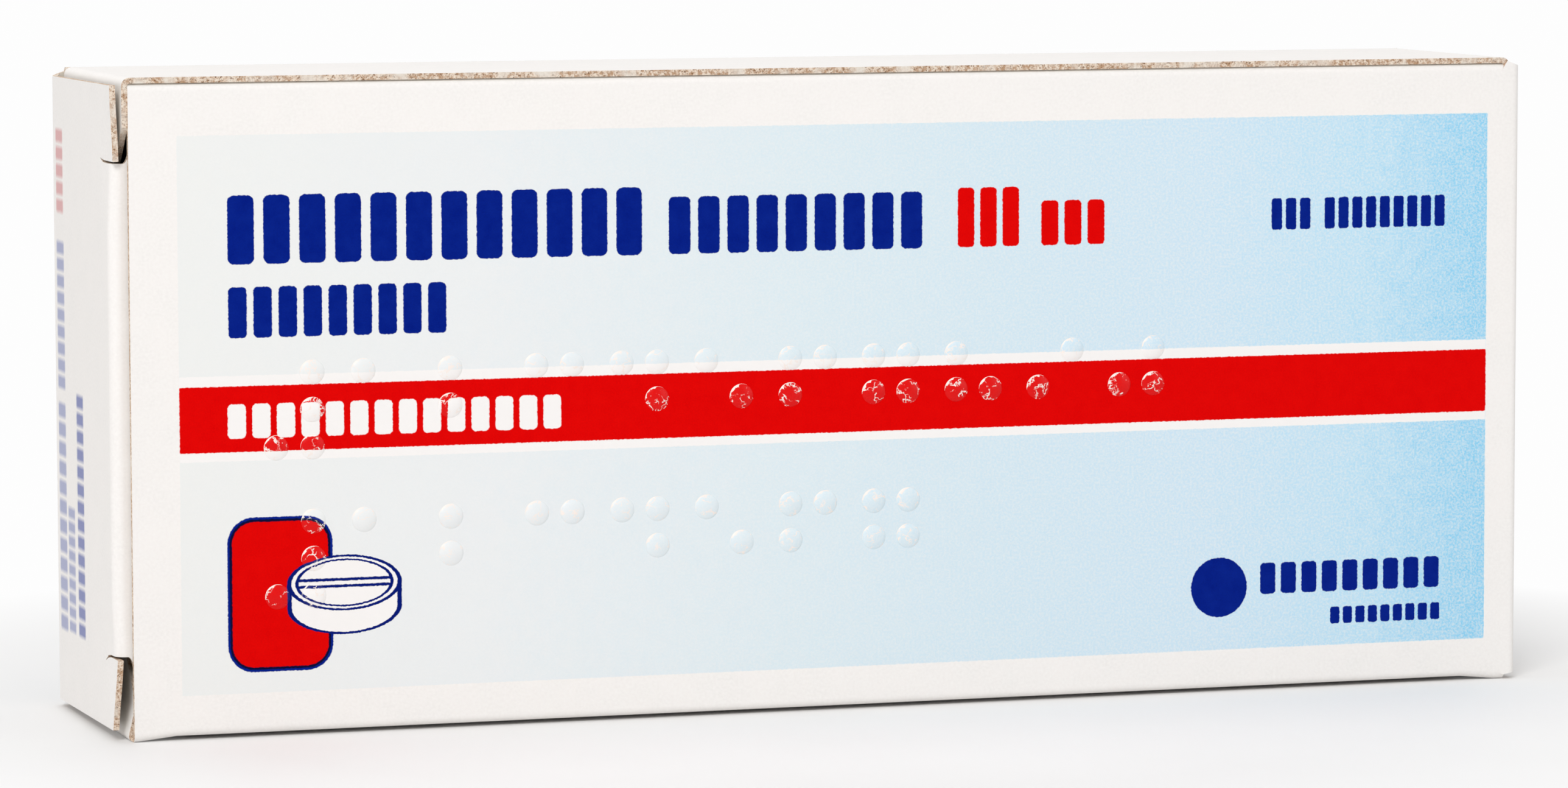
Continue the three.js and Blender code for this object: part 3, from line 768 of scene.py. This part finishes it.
# %% closure outline
SLIT_LENGTH, SLIT_WIDTH = 5.7 * MM, 0.16 * MM
SLIT_LOW, SLIT_TOP = SLIT_LENGTH, TOP - SLIT_LENGTH
TUCK_FACE, TUCK_START = tuck_low.y, tuck_high.y
HOOK = [0.6 * MM, 1.3 * MM, 2.0 * MM]
HOOK_END = TUCK_START + HOOK[-1]
TAPER_TOP, TAPER_LOW = 0.25 * MM, 0.45 * MM
CORNER_BACK = 1.2 * MM
ROWS, COLUMNS = 22, 8

drawn(bpy.ops.mesh.primitive_plane_add, (CLOSURE_TOP - CLOSURE_LOW, HINGE - FREE, 1),
      (LEFT, (HINGE + FREE) / 2, (CLOSURE_TOP + CLOSURE_LOW) / 2), (0, -math.pi / 2, 0), size=1)
move(at(y=FREE, z=CLOSURE_TOP), z=-TAPER_TOP)
move(at(y=FREE, z=CLOSURE_LOW), z=TAPER_LOW)
move(at(y=HINGE, z=CLOSURE_TOP), z=-CORNER_DROP)
move(at(y=HINGE, z=CLOSURE_LOW), z=FOOT_RISE)
cut("z", (SLIT_LOW - SLIT_WIDTH, SLIT_LOW, SLIT_TOP, SLIT_TOP + SLIT_WIDTH))
cut("z", [TOP * step / ROWS for step in range(1, ROWS)])
cut("y", [TUCK_START] + [TUCK_START + reach for reach in HOOK])
cut("y", [HOOK_END + (HINGE - HOOK_END) * step / COLUMNS for step in range(1, COLUMNS)])
for z in sorted(p.z for p in corners() if near(p.y, FREE) and p.z < SLIT_LOW - SLIT_WIDTH - TINY):
    move(at(y=FREE, z=z), y=CORNER_BACK * (1 - z / SLIT_LOW))
for furthest, lowest, highest in ((TUCK_START, SLIT_LOW, SLIT_TOP),
                                  (HOOK_END, SLIT_LOW - SLIT_WIDTH, SLIT_LOW),
                                  (HOOK_END, SLIT_TOP, SLIT_TOP + SLIT_WIDTH)):
    pick("FACE", lambda p: p.y < furthest + TINY and between(lowest, p.z, highest))
    bpy.ops.mesh.delete(type="FACE")
print("corners of the closure:", len(corners()))

# %% [markdown]
# The ends of the slits curl away from the tuck flap and close to a point.

# %% curled slit ends
SLIT_CLOSE = 0.13 * MM
for side, shut, way, curls in ((SLIT_TOP, SLIT_TOP + SLIT_WIDTH, 1, (0, 0.03, 0.14)),
                               (SLIT_LOW, SLIT_LOW - SLIT_WIDTH, -1, (0, 0.1, 0.36))):
    for reach, curl in zip(HOOK, curls):
        closing = SLIT_CLOSE if reach == HOOK[-1] else 0
        move(at(y=TUCK_START + reach, z=side), z=way * (curl * MM + closing))
        move(at(y=TUCK_START + reach, z=shut), z=way * curl * MM)

# %% [markdown]
# The edge between the slits is pulled forward and then in behind the front panel. The side edges of
# the flap are pulled up and down into shoulders, the lines inside the flap are dissolved, and its
# corners are rounded: small where the slits end, large at the flap's end.

# %% tuck flap
SHOULDER = LEFT + 1.3 * MM
SHOULDER_CORNER = 1 * MM
LIP, LIP_STRETCH = 0.5 * MM, 3.6
FLAP_END, FLAP_TAPER, FLAP_CORNER = tuck_high.x, 0.6 * MM, 6 * MM
TUCK_FOLD = 0.8 * MM
pick("EDGE", lambda p: near(p.y, TUCK_START) and between(SLIT_LOW, p.z, SLIT_TOP))
pull(y=TUCK_FACE - TUCK_START)
pull(x=SHOULDER - LEFT)
pull(x=FLAP_END - SHOULDER)
pick("EDGE", lambda p: near(p.z, SLIT_TOP) and p.x > SHOULDER - TINY)
pull(z=tuck_high.z - SLIT_TOP)
pick("EDGE", lambda p: near(p.z, SLIT_LOW) and p.x > SHOULDER - TINY)
pull(z=tuck_low.z - SLIT_LOW)
pick("FACE", lambda p: near(p.y, TUCK_FACE) and p.x > SHOULDER - TINY)
bpy.ops.mesh.dissolve_faces(use_verts=True)
for level, way in ((tuck_high.z, 1), (tuck_low.z, -1)):
    move(at(x=FLAP_END, z=level), z=-way * FLAP_TAPER)
    round_corner(at(x=FLAP_END, z=level - way * FLAP_TAPER), FLAP_CORNER, 8)
    round_corner(at(x=SHOULDER, z=level), SHOULDER_CORNER, 3)
for level, way in ((SLIT_TOP, 1), (SLIT_LOW, -1)):
    round_corner(at(SHOULDER, TUCK_FACE, level), LIP, 8)
    pick("VERT", lambda p: near(p.y, TUCK_FACE) and p.x > SHOULDER - LIP - TINY
         and 0 < way * (p.z - level) < LIP + TINY)
    bpy.ops.transform.resize(value=(1, 1, LIP_STRETCH), center_override=(0, TUCK_FACE, level))
crease(at(x=LEFT, y=TUCK_FACE), TUCK_FOLD, 8)
print("corners with the tuck flap:", len(corners()))

# %% [markdown]
# Handling has pressed the board in a little beside the slits. Moving a corner with proportional
# editing lets the board around it follow, less with distance.

# %% pressed in beside the slits
def press(y, z, depth, reach):
    nearest = min(corners(), key=lambda p: (p - Vector((LEFT, y, z))).length)
    pick("VERT", lambda p: (p - nearest).length < TINY)
    bpy.ops.transform.translate(value=(depth, 0, 0), use_proportional_edit=True,
                                proportional_edit_falloff="SMOOTH", proportional_size=reach)


press(FREE, SLIT_TOP + SLIT_WIDTH, 0.18 * MM, 5 * MM)
press(FREE, SLIT_LOW - SLIT_WIDTH, 0.15 * MM, 5 * MM)
closure = left("end_closure_left_board")
if closure.data.polygons[0].normal.x > 0:
    closure.data.flip_normals()

# %% [markdown]
# ## Print on the closures
# A closure is printed too, with smaller blocks that run up it in faint red and navy. Each row is
# written as its middle, foot, length and height in millimetres, its count and its ink.

# %% closure material
CLOSURE_INKS = {"red": colour(222, 176, 176), "navy": colour(172, 176, 204), "deep": colour(134, 140, 184)}
CLOSURE_ROWS = [(7.5, 34.2, 6.0, 2.3, 5, "red"), (7.5, 22.1, 10.4, 2.4, 9, "navy"),
                (7.5, 5.4, 16.0, 2.4, 12, "navy"), (4.6, 5.6, 8.8, 2.2, 9, "navy"),
                (1.4, 5.6, 16.8, 2.2, 14, "deep")]


def closure_material():
    made, tree, shader, point = new_material("printed_closure_board", Specular_IOR_Level=0.1)
    shade = coated_white(tree, point)
    place = ragged(tree, point)
    split = node(tree, "SeparateXYZ", {0: place}).node.outputs
    for middle, foot, length, height, count, name in CLOSURE_ROWS:
        along = sum_of(tree, "SUBTRACT", split["Z"], foot)
        side = sum_of(tree, "SUBTRACT", split["Y"], middle)
        row = block_row(tree, along, side, length, height, count, blur=0.16)
        shade = blended(tree, row, shade, CLOSURE_INKS[name])
    tree.links.new(shade, shader.inputs["Base Color"])
    coated_relief(tree, shader, point)
    return made


thickened(closure, closure_material(), inside, raw_edge)
half_turn = Matrix.Translation(MIDDLE) @ Matrix.Rotation(math.pi, 4, "Z") @ Matrix.Translation(-MIDDLE)
other_closure = copied(closure, "end_closure_right_board", half_turn)
placed(closure, "left_end", "board", "end_closure_left", "tuck_flap_left")
placed(other_closure, "right_end", "board", "end_closure_right", "tuck_flap_right")

# %% [markdown]
# ## Tablets
# Each tablet is a flat disc with bevelled rims and a score line for breaking it in half. One is made
# from a circle, and copied to the place of each packed tablet.

# %% one tablet
tablet_low, tablet_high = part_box("tablet_front_1")
TABLET_RADIUS = 6 * MM
TABLET_THICKNESS = tablet_high.y - tablet_low.y
TABLET_BEVEL = 0.5 * MM
HALF_SCORE, SCORE_DEPTH = 0.5 * MM, 0.5 * MM
disc(TABLET_RADIUS, (0, 0, -TABLET_THICKNESS / 2))
pull_faces(z=TABLET_THICKNESS)
for side in (-1, 1):
    crease(at(z=side * TABLET_THICKNESS / 2), TABLET_BEVEL, 4)
cut("x", (-HALF_SCORE, 0, HALF_SCORE))
move(lambda p: near(p.x, 0) and p.z > TABLET_THICKNESS / 2 - TABLET_BEVEL - TINY, z=-SCORE_DEPTH)
tablet = left("tablet")
smooth(tablet, 30)
print("tablet thickness in mm:", round(TABLET_THICKNESS / MM, 2))

# %% [markdown]
# Pressed powder is chalk white, matt and finely pitted, with a few darker grains.

# %% tablet material
chalk, tree, shader, point = new_material("pressed_powder", Roughness=0.8, Specular_IOR_Level=0.3)
powder = noise(tree, point, 4.0, 5, 0.7)
shade = blended(tree, fade(tree, powder, 0.3, 0.7), colour(238, 235, 226), colour(250, 249, 244))
pits = node(tree, "TexVoronoi", {"Vector": point, "Scale": 2.2}, out=0)
shade = blended(tree, fade(tree, pits, 0.12, 0.06), shade, colour(222, 216, 202))
tree.links.new(shade, shader.inputs["Base Color"])
bump(tree, shader, powder, 0.05 * MM)
tablet.data.materials.append(chalk)

# %% [markdown]
# Tablets drop into their pockets any way round, so each lies turned a little from the one before.

# %% place the tablets
TABLET_TURN = 0.65


def middle_of(name):
    low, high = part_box(name)
    return (low + high) / 2


count = 0
for name in sorted(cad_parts):
    if name.startswith("tablet_"):
        number = int(name.split("_")[-1]) - 1
        turn = Matrix.Rotation(number * TABLET_TURN, 4, "Y") @ Matrix.Rotation(-math.pi / 2, 4, "X")
        piece = copied(tablet, "pressed_" + name, Matrix.Translation(middle_of(name)) @ turn)
        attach(piece, "carton")
        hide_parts(name)
        count += 1
bpy.data.objects.remove(tablet)
print("tablets placed:", count)

# %% [markdown]
# ## Blister film
# The film is one sheet of clear plastic, drawn into a pocket over each tablet. Pockets are turned
# discs, joined to the sheet and hollowed with a smaller disc by Boolean modifiers.

# %% film shapes
film_low, film_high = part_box("blister_film_front")
FILM = 0.25 * MM
STRIP_CORNER = 3 * MM
POCKET_DEPTH = film_high.y - film_low.y - FILM


def pocket(name, foot, rim, depth, round_top, start):
    """A disc from y = start towards +y, of radius foot there and rim at its rounded top."""
    disc(foot, (0, start, 0), UPRIGHT, vertices=40)
    pull_faces(y=depth)
    bpy.ops.transform.resize(value=(rim / foot, 1, rim / foot), center_override=(0, start + depth, 0))
    crease(at(y=start + depth), round_top, 4)
    return left(name)


foil_low, foil_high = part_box("blister_foil_front")
drawn(bpy.ops.mesh.primitive_plane_add, (foil_high.x - foil_low.x, foil_high.z - foil_low.z, 1),
      (0, film_low.y, (foil_low.z + foil_high.z) / 2), UPRIGHT, size=1)
round_corner(at(), STRIP_CORNER, 6)
pull_faces(y=FILM)
film = left("blister_film_front_sheet")
print("pocket depth in mm:", round(POCKET_DEPTH / MM, 2))

# %% [markdown]
# The outer discs are joined to the sheet and the inner ones taken out of it. The inner ones start
# below the sheet, so that they cut right through it.

# %% join and hollow the pockets
POCKET_RIM, POCKET_DRAFT = 6.3 * MM, 0.15 * MM
ROUND_OUTSIDE, ROUND_INSIDE = 0.6 * MM, 0.5 * MM
BELOW = 0.5 * MM
foot = POCKET_RIM + POCKET_DRAFT
centres = [middle_of("tablet_front_%d" % number) for number in range(1, 11)]
outer = pocket("outer", foot + FILM, POCKET_RIM + FILM, POCKET_DEPTH + FILM, ROUND_OUTSIDE, film_low.y)
inner = pocket("inner", foot, POCKET_RIM, POCKET_DEPTH + BELOW, ROUND_INSIDE, film_low.y - BELOW)
for form, operation in ((outer, "UNION"), (inner, "DIFFERENCE")):
    each = [copied(form, "one", Matrix.Translation((centre.x, 0, centre.z))) for centre in centres]
    set_of_ten = joined("pockets", each)
    modified(film, "BOOLEAN", operation=operation, object=set_of_ten, solver="EXACT")
    bpy.data.objects.remove(set_of_ten)
    bpy.data.objects.remove(form)
smooth(film, 40)

# %% [markdown]
# Clear film is smooth and slightly blue, foil is rolled aluminium with a fine sealing pattern, and
# the leaflet is thin uncoated paper.

# %% film and foil materials
clear, tree, shader, point = new_material("clear_film", Base_Color=colour(236, 243, 247), Roughness=0.08,
                                          Transmission_Weight=0.85, IOR=1.5, Alpha=0.6)
bump(tree, shader, noise(tree, point, 0.7, 3), 0.02 * MM)
film.data.materials.append(clear)
rear_film = copied(film, "blister_film_rear_sheet",
                   Matrix.Translation((0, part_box("blister_film_rear")[0].y - film_low.y, 0)))
placed(film, "carton", "film", "blister_film_front")
placed(rear_film, "carton", "film", "blister_film_rear")

foil, tree, shader, point = new_material("rolled_foil", Metallic=1.0)
rolled = noise(tree, vector_sum(tree, "MULTIPLY", point, (0.1, 1, 3)), 2.0, 3)
shade = blended(tree, rolled, colour(196, 199, 203), colour(226, 228, 230))
tree.links.new(shade, shader.inputs["Base Color"])
tree.links.new(fade(tree, rolled, 0.2, 0.8, 0.28, 0.45), shader.inputs["Roughness"])
knurl = node(tree, "TexVoronoi", {"Vector": point, "Scale": 1.6, "Randomness": 0.0})
bump(tree, shader, knurl, 0.05 * MM)

# %% paper material
paper, tree, shader, point = new_material("leaflet_paper", Roughness=0.85, Specular_IOR_Level=0.25)
fibre = noise(tree, point, 1.8, 5, 0.65)
shade = blended(tree, fade(tree, fibre, 0.3, 0.7), colour(238, 236, 229), colour(249, 248, 243))
tree.links.new(shade, shader.inputs["Base Color"])
bump(tree, shader, fibre, 0.02 * MM)


FINISHES = {"blister_foil_front": foil, "blister_foil_rear": foil, "leaflet": paper}
for node_name, finish in FINISHES.items():
    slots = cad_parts[node_name].data.materials
    slots.clear()
    slots.append(finish)
print("nodes with a new finish:", len(FINISHES))

# %% [markdown]
# ## Floor and light
# The carton stands on a pale plain surface that runs off into white: past a short way from the carton,
# the camera sees it glow, and it lights nothing.

# %% floor
FLOOR_RADIUS = 4
GLOW_START, GLOW_END, GLOW = 46, 84, 0.985
disc(FLOOR_RADIUS, (0, 0, 0), vertices=96)
floor = left("floor")
pale, tree, shader, point = new_material("pale_floor", Roughness=0.6, Specular_IOR_Level=0.1)
tone = blended(tree, noise(tree, point, 0.05, 3), colour(236, 235, 234), colour(240, 239, 238))
tree.links.new(tone, shader.inputs["Base Color"])
bump(tree, shader, noise(tree, point, 1.2, 3), 0.01 * MM)
away = node(tree, "VectorMath", {0: point}, out=1, operation="LENGTH")
seen = node(tree, "LightPath", {})
share = sum_of(tree, "MULTIPLY", fade(tree, away, GLOW_START, GLOW_END), seen)
glowing = node(tree, "Emission", {"Color": (1, 1, 1, 1), "Strength": GLOW})
mixed = node(tree, "MixShader", {0: share, 1: shader.outputs[0], 2: glowing})
tree.links.new(mixed, tree.nodes["Material Output"].inputs["Surface"])
floor.data.materials.append(pale)
floor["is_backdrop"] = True

# %% [markdown]
# A soft key lamp from the upper left models the folds, and three weaker lamps keep the shadows open.

# %% lamps
def lamp(name, place, size, power, target=(0, 0, 0.02)):
    light = bpy.data.lights.new(name, "AREA")
    light.shape, light.size, light.energy = "SQUARE", size, power
    piece = bpy.data.objects.new(name, light)
    aim = Vector(target) - Vector(place)
    piece.matrix_world = Matrix.Translation(place) @ aim.to_track_quat("-Z", "Y").to_matrix().to_4x4()
    bpy.context.scene.collection.objects.link(piece)


lamp("key", (-0.55, -0.8, 0.78), 0.45, 7.7)
lamp("fill", (0.9, -0.8, 0.4), 0.8, 2.4)
lamp("left_fill", (-1.1, 0.1, 0.4), 0.7, 1.6)
lamp("top", (0.05, 0.15, 1.2), 0.9, 5.2)

# %% [markdown]
# The camera, mirrors and glass see a white room. Everything else gets its light from a softer one.

# %% world
world = bpy.data.worlds.new("white_room")
world.use_nodes = True
bpy.context.scene.world = world
tree = world.node_tree
rays = node(tree, "LightPath", {}).node.outputs
seen = sum_of(tree, "MAXIMUM", sum_of(tree, "MAXIMUM", rays["Is Camera Ray"], rays["Is Glossy Ray"]),
              rays["Is Transmission Ray"])
background = tree.nodes["Background"]
background.inputs["Color"].default_value = (1, 1, 1, 1)
tree.links.new(fade(tree, seen, 0, 1, 0.3, 1.0), background.inputs["Strength"])
bpy.context.scene.view_settings.view_transform = "Standard"

# %% [markdown]
# ## Sizes
# The boxes round the imported model and round the visual one are both printed. The visual model has
# to stay inside the imported one.

# %% sizes and finish
visual_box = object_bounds()
boxes = {name: [list(corner) for corner in box] for name, box in (("cad", cad_box), ("visual", visual_box))}
for name, (lowest, highest) in boxes.items():
    print(name, [round(value / MM, 3) for value in lowest + highest])
